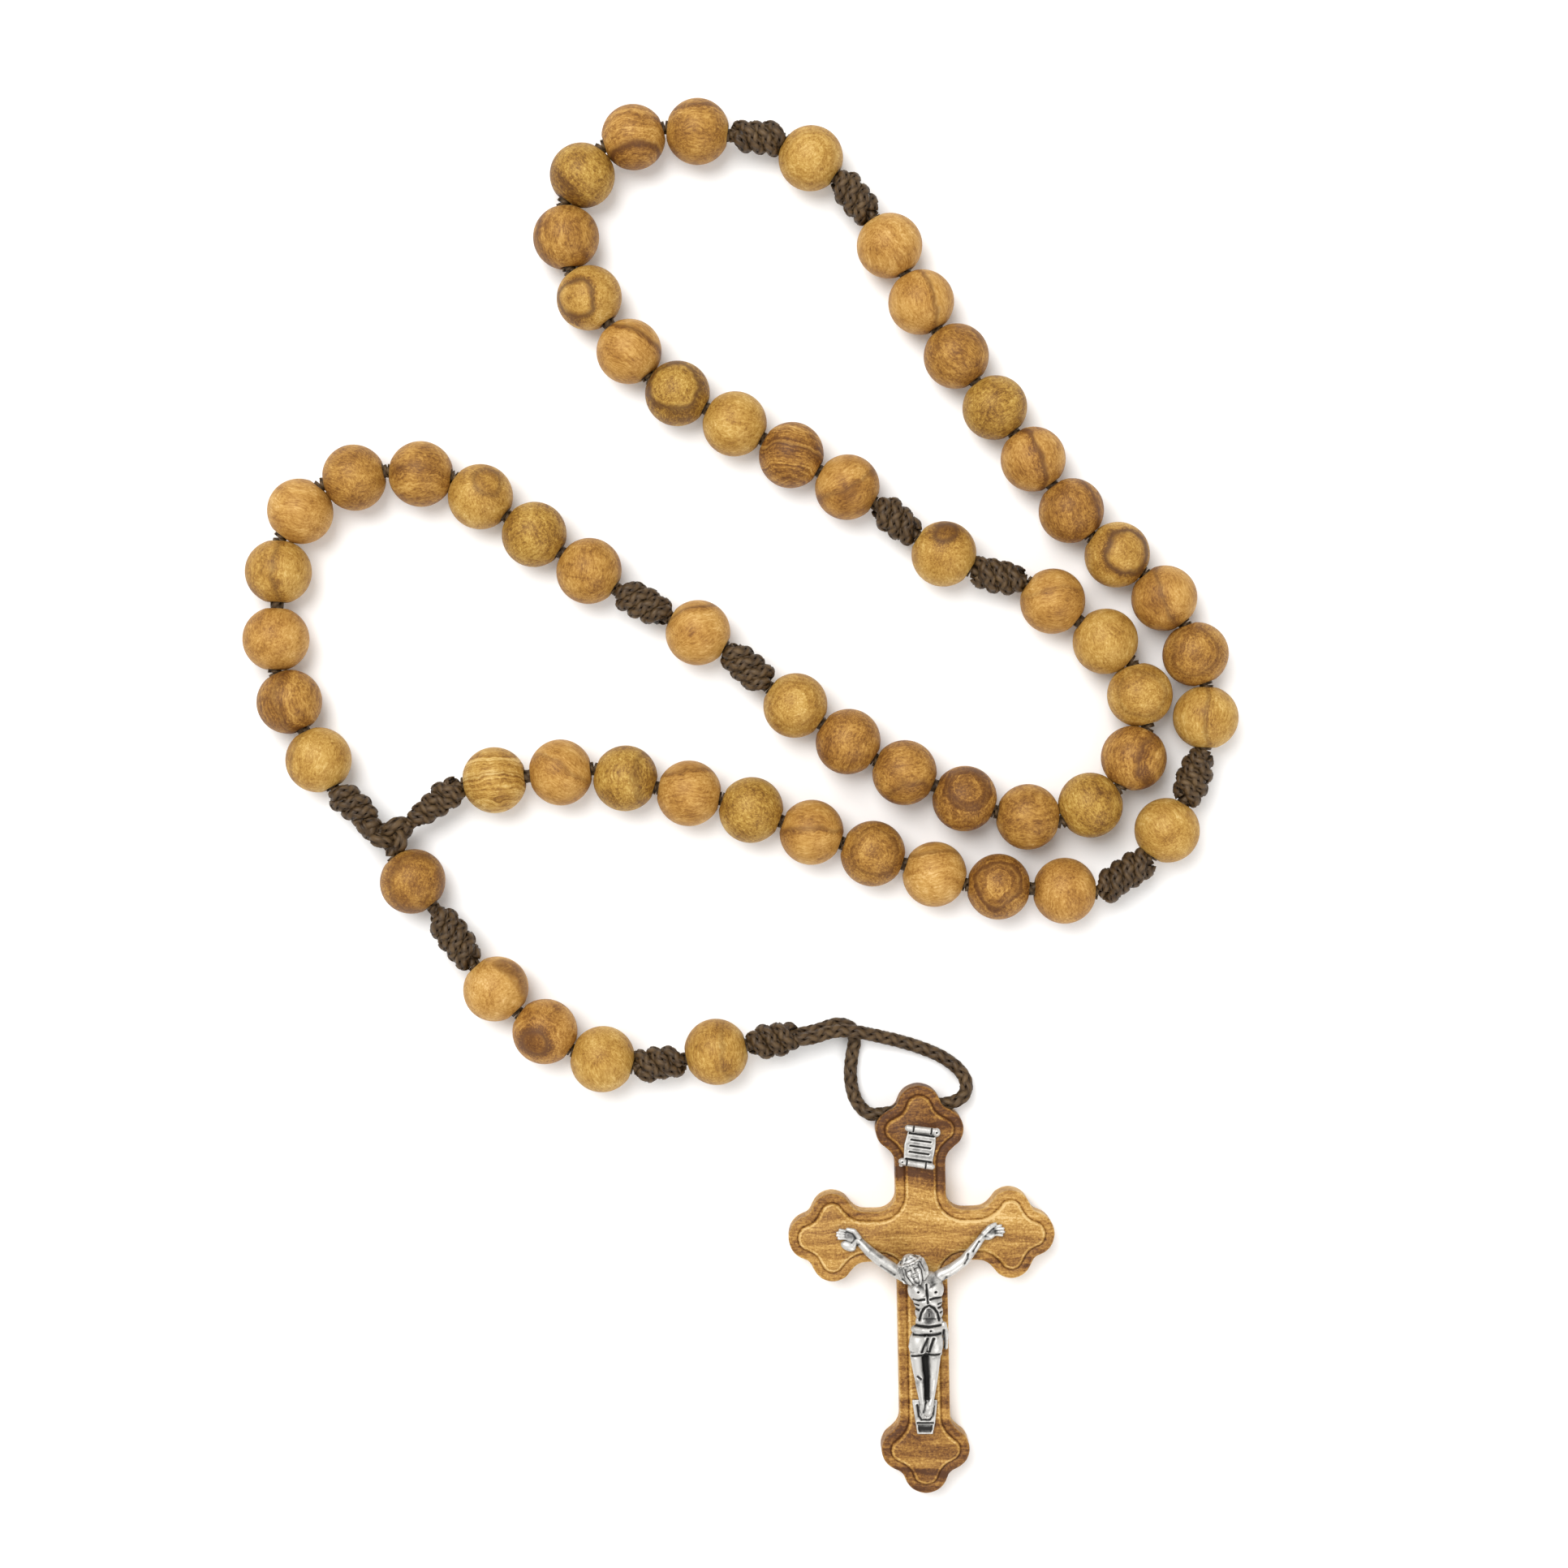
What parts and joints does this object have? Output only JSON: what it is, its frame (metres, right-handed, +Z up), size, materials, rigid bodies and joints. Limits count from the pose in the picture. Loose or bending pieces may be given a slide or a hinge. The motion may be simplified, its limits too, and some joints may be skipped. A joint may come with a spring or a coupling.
{
  "type": "rosary",
  "caption": "Rosary of turned wooden beads on a knotted waxed cord, with a budded wooden crucifix and a cast figure, lying flat.",
  "frame": {"origin": "under the middle of the whole rosary, on the surface it lies on", "axes": "+Y from the crucifix to the far end of the loop, +Z up from the surface"},
  "size_m": [0.1226, 0.1717, 0.0088],
  "materials": {
    "bead_wood": "turned olive wood, lightly waxed, tan to ochre with brown grain",
    "cross_wood": "routed olive wood, dull wax, light tan with a darker reddish brown top",
    "cord": "dark taupe waxed braided cord",
    "cast_metal": "antiqued silver casting, polished high spots and blackened hollows"
  },
  "bodies": {
    "centre_knot": {"centre_knot": "cord"},
    "decade_1_beads_1_2": {"decade_1_beads_1_2": "bead_wood", "decade_1_cord": "cord"},
    "decade_1_beads_3_4": {"decade_1_beads_3_4": "bead_wood"},
    "decade_1_bead_5": {"decade_1_bead_5": "bead_wood"},
    "decade_1_bead_6": {"decade_1_bead_6": "bead_wood"},
    "decade_1_bead_7": {"decade_1_bead_7": "bead_wood"},
    "decade_1_bead_8": {"decade_1_bead_8": "bead_wood"},
    "decade_1_beads_9_10": {"decade_1_beads_9_10": "bead_wood"},
    "our_father_cord_1": {"our_father_cord_1": "cord"},
    "our_father_bead_1": {"our_father_bead_1": "bead_wood"},
    "decade_2_beads_1_2": {"decade_2_beads_1_2": "bead_wood", "decade_2_cord": "cord"},
    "decade_2_beads_3_4": {"decade_2_beads_3_4": "bead_wood"},
    "decade_2_bead_5": {"decade_2_bead_5": "bead_wood"},
    "decade_2_bead_6": {"decade_2_bead_6": "bead_wood"},
    "decade_2_bead_7": {"decade_2_bead_7": "bead_wood"},
    "decade_2_bead_8": {"decade_2_bead_8": "bead_wood"},
    "decade_2_beads_9_10": {"decade_2_beads_9_10": "bead_wood"},
    "our_father_cord_2": {"our_father_cord_2": "cord"},
    "our_father_bead_2": {"our_father_bead_2": "bead_wood"},
    "decade_3_beads_1_2": {"decade_3_beads_1_2": "bead_wood", "decade_3_cord": "cord"},
    "decade_3_beads_3_4": {"decade_3_beads_3_4": "bead_wood"},
    "decade_3_beads_5_6": {"decade_3_beads_5_6": "bead_wood"},
    "decade_5_beads_9_10": {"decade_5_beads_9_10": "bead_wood", "decade_5_cord": "cord"},
    "decade_5_bead_8": {"decade_5_bead_8": "bead_wood"},
    "decade_5_bead_7": {"decade_5_bead_7": "bead_wood"},
    "decade_5_bead_6": {"decade_5_bead_6": "bead_wood"},
    "decade_5_bead_5": {"decade_5_bead_5": "bead_wood"},
    "decade_5_beads_3_4": {"decade_5_beads_3_4": "bead_wood"},
    "decade_5_beads_1_2": {"decade_5_beads_1_2": "bead_wood"},
    "our_father_cord_4": {"our_father_cord_4": "cord"},
    "our_father_bead_4": {"our_father_bead_4": "bead_wood"},
    "decade_4_bead_10": {"decade_4_bead_10": "bead_wood"},
    "decade_4_bead_9": {"decade_4_bead_9": "bead_wood"},
    "decade_4_bead_8": {"decade_4_bead_8": "bead_wood"},
    "decade_4_bead_7": {"decade_4_bead_7": "bead_wood"},
    "decade_4_beads_5_6": {"decade_4_beads_5_6": "bead_wood", "decade_4_cord": "cord"},
    "decade_4_beads_3_4": {"decade_4_beads_3_4": "bead_wood"},
    "decade_4_beads_1_2": {"decade_4_beads_1_2": "bead_wood"},
    "our_father_cord_3": {"our_father_cord_3": "cord"},
    "our_father_bead_3": {"our_father_bead_3": "bead_wood"},
    "decade_3_bead_10": {"decade_3_bead_10": "bead_wood"},
    "decade_3_bead_9": {"decade_3_bead_9": "bead_wood"},
    "decade_3_bead_8": {"decade_3_bead_8": "bead_wood"},
    "decade_3_bead_7": {"decade_3_bead_7": "bead_wood"},
    "pendant_first_bead": {"pendant_first_bead": "bead_wood"},
    "hail_mary_bead_1": {"hail_mary_bead_1": "bead_wood", "hail_mary_cord": "cord"},
    "hail_mary_bead_2": {"hail_mary_bead_2": "bead_wood"},
    "hail_mary_bead_3": {"hail_mary_bead_3": "bead_wood"},
    "pendant_knot_cord": {"pendant_knot_cord": "cord"},
    "pendant_our_father_bead": {"pendant_our_father_bead": "bead_wood"},
    "crucifix_loop": {"crucifix_loop": "cord"},
    "crucifix": {"wooden_cross": "cross_wood", "corpus": "cast_metal", "title_scroll": "cast_metal"}
  },
  "joints": [
    {"name": "decade_1_beads_1_2_bend", "type": "hinge", "parent": "centre_knot", "child": "decade_1_beads_1_2", "pos_m": [-0.0502, 0.0009, 0.00405], "axis": [0.8932, 0.4497, 0], "range_deg": [-20, 20], "deforming": ["decade_1_cord"]},
    {"name": "decade_1_beads_3_4_bend", "type": "hinge", "parent": "decade_1_beads_1_2", "child": "decade_1_beads_3_4", "pos_m": [-0.0574, 0.0152, 0.00405], "axis": [-0.9769, -0.2135, 0], "range_deg": [-20, 20]},
    {"name": "decade_1_bead_5_bend", "type": "hinge", "parent": "decade_1_beads_3_4", "child": "decade_1_bead_5", "pos_m": [-0.0568, 0.0318, 0.00405], "axis": [0.9404, -0.3401, 0], "range_deg": [-20, 20]},
    {"name": "decade_1_bead_6_bend", "type": "hinge", "parent": "decade_1_bead_5", "child": "decade_1_bead_6", "pos_m": [-0.0517, 0.0384, 0.00405], "axis": [-0.5301, 0.848, 0], "range_deg": [-20, 20]},
    {"name": "decade_1_bead_7_bend", "type": "hinge", "parent": "decade_1_bead_6", "child": "decade_1_bead_7", "pos_m": [-0.0435, 0.0401, 0.00405], "axis": [0.0536, -0.9986, 0], "range_deg": [-20, 20]},
    {"name": "decade_1_bead_8_bend", "type": "hinge", "parent": "decade_1_bead_7", "child": "decade_1_bead_8", "pos_m": [-0.0353, 0.0393, 0.00405], "axis": [0.3585, 0.9335, 0], "range_deg": [-20, 20]},
    {"name": "decade_1_beads_9_10_bend", "type": "hinge", "parent": "decade_1_bead_8", "child": "decade_1_beads_9_10", "pos_m": [-0.0288, 0.0345, 0.00405], "axis": [-0.5745, -0.8185, 0], "range_deg": [-20, 20]},
    {"name": "our_father_cord_1_bend", "type": "hinge", "parent": "decade_1_beads_9_10", "child": "our_father_cord_1", "pos_m": [-0.0153, 0.0255, 0.00405], "axis": [0.515, 0.8572, 0], "range_deg": [-20, 20]},
    {"name": "our_father_bead_1_spin", "type": "hinge", "parent": "our_father_cord_1", "child": "our_father_bead_1", "pos_m": [-0.00525, 0.02015, 0.00405], "axis": [0.8868, -0.4621, 0], "continuous": true},
    {"name": "decade_2_beads_1_2_bend", "type": "hinge", "parent": "our_father_cord_1", "child": "decade_2_beads_1_2", "pos_m": [0.0035, 0.0134, 0.00405], "axis": [-0.6272, -0.7788, 0], "range_deg": [-20, 20], "deforming": ["decade_2_cord"]},
    {"name": "decade_2_beads_3_4_bend", "type": "hinge", "parent": "decade_2_beads_1_2", "child": "decade_2_beads_3_4", "pos_m": [0.0165, 0.0045, 0.00405], "axis": [0.4831, 0.8755, 0], "range_deg": [-20, 20]},
    {"name": "decade_2_bead_5_bend", "type": "hinge", "parent": "decade_2_beads_3_4", "child": "decade_2_bead_5", "pos_m": [0.0313, -0.0019, 0.00405], "axis": [-0.2789, -0.9603, 0], "range_deg": [-20, 20]},
    {"name": "decade_2_bead_6_bend", "type": "hinge", "parent": "decade_2_bead_5", "child": "decade_2_bead_6", "pos_m": [0.0395, -0.0032, 0.00405], "axis": [-0.1844, 0.9829, 0], "range_deg": [-20, 20]},
    {"name": "decade_2_bead_7_bend", "type": "hinge", "parent": "decade_2_bead_6", "child": "decade_2_bead_7", "pos_m": [0.0467, 0.001, 0.00405], "axis": [0.7369, -0.676, 0], "range_deg": [-20, 20]},
    {"name": "decade_2_bead_8_bend", "type": "hinge", "parent": "decade_2_bead_7", "child": "decade_2_bead_8", "pos_m": [0.0502, 0.0084, 0.00405], "axis": [-0.9949, 0.1011, 0], "range_deg": [-20, 20]},
    {"name": "decade_2_beads_9_10_bend", "type": "hinge", "parent": "decade_2_bead_8", "child": "decade_2_beads_9_10", "pos_m": [0.0482, 0.0166, 0.00405], "axis": [0.8367, 0.5477, 0], "range_deg": [-20, 20]},
    {"name": "our_father_cord_2_bend", "type": "hinge", "parent": "decade_2_beads_9_10", "child": "our_father_cord_2", "pos_m": [0.0352, 0.0265, 0.00405], "axis": [-0.4011, -0.916, 0], "range_deg": [-20, 20]},
    {"name": "our_father_bead_2_spin", "type": "hinge", "parent": "our_father_cord_2", "child": "our_father_bead_2", "pos_m": [0.02505, 0.02985, 0.00405], "axis": [-0.8416, 0.5401, 0], "continuous": true},
    {"name": "decade_3_beads_1_2_bend", "type": "hinge", "parent": "our_father_cord_2", "child": "decade_3_beads_1_2", "pos_m": [0.0166, 0.0361, 0.00405], "axis": [0.5634, 0.8262, 0], "range_deg": [-20, 20], "deforming": ["decade_3_cord"]},
    {"name": "decade_3_beads_3_4_bend", "type": "hinge", "parent": "decade_3_beads_1_2", "child": "decade_3_beads_3_4", "pos_m": [0.0028, 0.044, 0.00405], "axis": [-0.4833, -0.8755, 0], "range_deg": [-20, 20]},
    {"name": "decade_3_beads_5_6_bend", "type": "hinge", "parent": "decade_3_beads_3_4", "child": "decade_3_beads_5_6", "pos_m": [-0.0113, 0.0515, 0.00405], "axis": [0.6522, 0.758, 0], "range_deg": [-20, 20]},
    {"name": "decade_5_beads_9_10_bend", "type": "hinge", "parent": "centre_knot", "child": "decade_5_beads_9_10", "pos_m": [-0.0344, 0.0015, 0.00405], "axis": [-0.1158, 0.9933, 0], "range_deg": [-20, 20], "deforming": ["decade_5_cord"]},
    {"name": "decade_5_bead_8_bend", "type": "hinge", "parent": "decade_5_beads_9_10", "child": "decade_5_bead_8", "pos_m": [-0.0181, 0.0034, 0.00405], "axis": [-0.0911, -0.9958, 0], "range_deg": [-20, 20]},
    {"name": "decade_5_bead_7_bend", "type": "hinge", "parent": "decade_5_bead_8", "child": "decade_5_bead_7", "pos_m": [-0.0103, 0.001, 0.00405], "axis": [0.2288, 0.9735, 0], "range_deg": [-20, 20]},
    {"name": "decade_5_bead_6_bend", "type": "hinge", "parent": "decade_5_bead_7", "child": "decade_5_bead_6", "pos_m": [-0.0024, -0.0003, 0.00405], "axis": [-0.2594, -0.9658, 0], "range_deg": [-20, 20]},
    {"name": "decade_5_bead_5_bend", "type": "hinge", "parent": "decade_5_bead_6", "child": "decade_5_bead_5", "pos_m": [0.005, -0.0031, 0.00405], "axis": [0.3463, 0.9381, 0], "range_deg": [-20, 20]},
    {"name": "decade_5_beads_3_4_bend", "type": "hinge", "parent": "decade_5_bead_5", "child": "decade_5_beads_3_4", "pos_m": [0.0125, -0.0058, 0.00405], "axis": [-0.3284, -0.9445, 0], "range_deg": [-20, 20]},
    {"name": "decade_5_beads_1_2_bend", "type": "hinge", "parent": "decade_5_beads_3_4", "child": "decade_5_beads_1_2", "pos_m": [0.0277, -0.0109, 0.00405], "axis": [0.1913, 0.9815, 0], "range_deg": [-20, 20]},
    {"name": "our_father_cord_4_bend", "type": "hinge", "parent": "decade_5_beads_1_2", "child": "our_father_cord_4", "pos_m": [0.044, -0.0119, 0.00405], "axis": [0.2586, -0.966, 0], "range_deg": [-20, 20]},
    {"name": "our_father_bead_4_spin", "type": "hinge", "parent": "our_father_cord_4", "child": "our_father_bead_4", "pos_m": [0.05255, -0.0042, 0.00405], "axis": [0.5163, 0.8564, 0], "continuous": true},
    {"name": "decade_4_bead_10_bend", "type": "hinge", "parent": "our_father_cord_4", "child": "decade_4_bead_10", "pos_m": [0.0572, 0.0057, 0.00405], "axis": [-0.9795, 0.2014, 0], "range_deg": [-20, 20]},
    {"name": "decade_4_bead_9_bend", "type": "hinge", "parent": "decade_4_bead_10", "child": "decade_4_bead_9", "pos_m": [0.0574, 0.0137, 0.00405], "axis": [0.9875, 0.1575, 0], "range_deg": [-20, 20]},
    {"name": "decade_4_bead_8_bend", "type": "hinge", "parent": "decade_4_bead_9", "child": "decade_4_bead_8", "pos_m": [0.0547, 0.0213, 0.00405], "axis": [-0.8727, -0.4882, 0], "range_deg": [-20, 20]},
    {"name": "decade_4_bead_7_bend", "type": "hinge", "parent": "decade_4_bead_8", "child": "decade_4_bead_7", "pos_m": [0.0497, 0.0275, 0.00405], "axis": [0.6782, 0.7349, 0], "range_deg": [-20, 20]},
    {"name": "decade_4_beads_5_6_bend", "type": "hinge", "parent": "decade_4_bead_7", "child": "decade_4_beads_5_6", "pos_m": [0.0431, 0.032, 0.00405], "axis": [-0.6933, -0.7207, 0], "range_deg": [-20, 20], "deforming": ["decade_4_cord"]},
    {"name": "decade_4_beads_3_4_bend", "type": "hinge", "parent": "decade_4_beads_5_6", "child": "decade_4_beads_3_4", "pos_m": [0.0337, 0.0447, 0.00405], "axis": [0.8023, 0.597, 0], "range_deg": [-20, 20]},
    {"name": "decade_4_beads_1_2_bend", "type": "hinge", "parent": "decade_4_beads_3_4", "child": "decade_4_beads_1_2", "pos_m": [0.0242, 0.0574, 0.00405], "axis": [-0.8382, -0.5453, 0], "range_deg": [-20, 20]},
    {"name": "our_father_cord_3_bend", "type": "hinge", "parent": "decade_4_beads_1_2", "child": "our_father_cord_3", "pos_m": [0.0164, 0.0713, 0.00405], "axis": [0.8095, 0.5872, 0], "range_deg": [-20, 20]},
    {"name": "our_father_bead_3_spin", "type": "hinge", "parent": "our_father_cord_3", "child": "our_father_bead_3", "pos_m": [0.00865, 0.0786, 0.00405], "axis": [-0.8076, 0.5897, 0], "continuous": true},
    {"name": "decade_3_bead_10_bend", "type": "hinge", "parent": "our_father_cord_3", "child": "decade_3_bead_10", "pos_m": [-0.0013, 0.0814, 0.00405], "axis": [-0.0987, -0.9951, 0], "range_deg": [-20, 20]},
    {"name": "decade_3_bead_9_bend", "type": "hinge", "parent": "decade_3_bead_10", "child": "decade_3_bead_9", "pos_m": [-0.0093, 0.0824, 0.00405], "axis": [-0.087, 0.9962, 0], "range_deg": [-20, 20]},
    {"name": "decade_3_bead_8_bend", "type": "hinge", "parent": "decade_3_bead_9", "child": "decade_3_bead_8", "pos_m": [-0.0171, 0.08, 0.00405], "axis": [0.5925, -0.8056, 0], "range_deg": [-20, 20]},
    {"name": "decade_3_bead_7_bend", "type": "hinge", "parent": "decade_3_bead_8", "child": "decade_3_bead_7", "pos_m": [-0.0219, 0.073, 0.00405], "axis": [-0.9683, 0.2498, 0], "range_deg": [-20, 20]},
    {"name": "pendant_first_bead_spin", "type": "hinge", "parent": "centre_knot", "child": "pendant_first_bead", "pos_m": [-0.0404, -0.0105, 0.00405], "axis": [0.6278, -0.7784, 0], "continuous": true},
    {"name": "hail_mary_bead_1_swing", "type": "hinge", "parent": "centre_knot", "child": "hail_mary_bead_1", "pos_m": [-0.0329, -0.0208, 0.00405], "axis": [0, 0, 1], "range_deg": [-30, 12], "deforming": ["hail_mary_cord"]},
    {"name": "hail_mary_bead_2_bend", "type": "hinge", "parent": "hail_mary_bead_1", "child": "hail_mary_bead_2", "pos_m": [-0.0274, -0.0267, 0.00405], "axis": [-0.6553, -0.7554, 0], "range_deg": [-20, 20]},
    {"name": "hail_mary_bead_3_swing", "type": "hinge", "parent": "hail_mary_bead_2", "child": "hail_mary_bead_3", "pos_m": [-0.0208, -0.0313, 0.00405], "axis": [0, 0, 1], "range_deg": [-30, 14]},
    {"name": "pendant_knot_cord_bend", "type": "hinge", "parent": "hail_mary_bead_3", "child": "pendant_knot_cord", "pos_m": [-0.0132, -0.0335, 0.00405], "axis": [-0.0544, -0.9985, 0], "range_deg": [-20, 20]},
    {"name": "pendant_our_father_bead_spin", "type": "hinge", "parent": "pendant_knot_cord", "child": "pendant_our_father_bead", "pos_m": [-0.003, -0.0315, 0.00405], "axis": [0.9744, 0.2249, 0], "continuous": true},
    {"name": "crucifix_loop_swing", "type": "hinge", "parent": "pendant_knot_cord", "child": "crucifix_loop", "pos_m": [0.0073, -0.0294, 0.00405], "axis": [0, 0, 1], "range_deg": [-25, 25]},
    {"name": "crucifix_turn", "type": "hinge", "parent": "crucifix_loop", "child": "crucifix", "pos_m": [0.021, -0.03873, 0.0025], "axis": [0.9868, 0.1619, 0], "range_deg": [-75, 75]}
  ]
}
